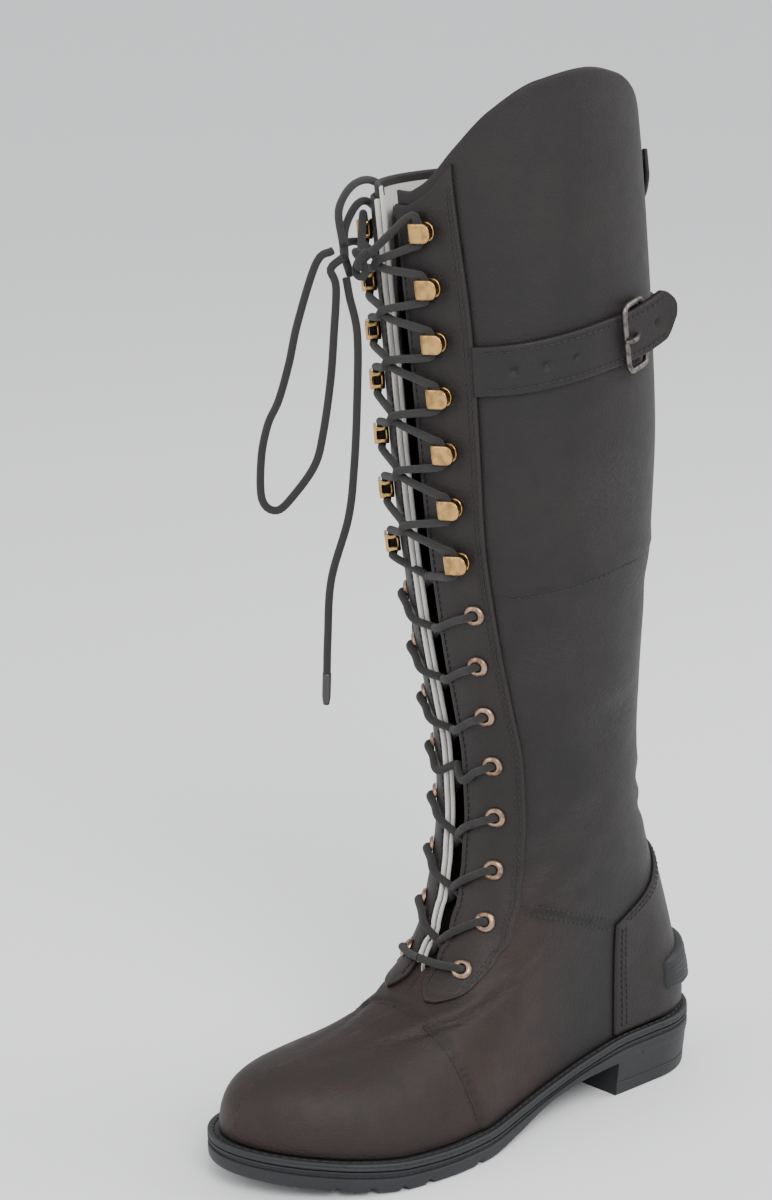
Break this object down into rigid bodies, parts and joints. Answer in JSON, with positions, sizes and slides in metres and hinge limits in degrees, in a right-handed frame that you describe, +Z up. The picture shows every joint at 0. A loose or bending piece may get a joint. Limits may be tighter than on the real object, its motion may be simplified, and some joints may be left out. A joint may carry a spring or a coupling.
{
  "type": "riding boot",
  "caption": "Knee-high lace-up riding boot for the left foot, dark waxed leather, with speed hooks, eyelets, a buckled calf strap and an arched collar.",
  "frame": {"origin": "middle of the heel's ground face", "axes": "+Z up along the shaft, the toe towards -X, the outer side towards -Y"},
  "size_m": [0.2681, 0.1303, 0.4798],
  "materials": {
    "leather": "waxed",
    "waxed_leather": "waxed",
    "rubber": "matt",
    "felt": "felted",
    "copper": "antiqued",
    "brass": "antiqued",
    "dark_metal": "antiqued",
    "cord": "woven",
    "tape": "woven",
    "aglet": "smooth"
  },
  "bodies": {
    "root": {"aglet_inner": "aglet", "aglet_outer": "aglet", "back_zip": "tape", "buckle_chape": "waxed_leather", "buckle_frame": "dark_metal", "buckle_prong": "dark_metal", "counter": "leather", "eyelet_inner_1": "copper", "eyelet_inner_2": "copper", "eyelet_inner_3": "copper", "eyelet_inner_4": "copper", "eyelet_inner_5": "copper", "eyelet_inner_6": "copper", "eyelet_inner_7": "copper", "eyelet_inner_8": "copper", "eyelet_outer_1": "copper", "eyelet_outer_2": "copper", "eyelet_outer_3": "copper", "eyelet_outer_4": "copper", "eyelet_outer_5": "copper", "eyelet_outer_6": "copper", "eyelet_outer_7": "copper", "eyelet_outer_8": "copper", "facing_inner": "waxed_leather", "facing_outer": "waxed_leather", "hook_inner_1": "brass", "hook_inner_2": "brass", "hook_inner_3": "brass", "hook_inner_4": "brass", "hook_inner_5": "brass", "hook_inner_6": "brass", "hook_inner_7": "brass", "hook_outer_1": "brass", "hook_outer_2": "brass", "hook_outer_3": "brass", "hook_outer_4": "brass", "hook_outer_5": "brass", "hook_outer_6": "brass", "hook_outer_7": "brass", "insole": "felt", "lace_crossings": "cord", "lace_end_inner": "cord", "lace_end_outer": "cord", "lace_knot": "cord", "lace_loop_inner": "cord", "lace_loop_outer": "cord", "outsole": "rubber", "snap_cap": "dark_metal", "snap_tab": "waxed_leather", "spur_rest": "rubber", "strap": "waxed_leather", "tongue": "waxed_leather", "upper": "leather", "welt": "rubber"}
  },
  "joints": []
}
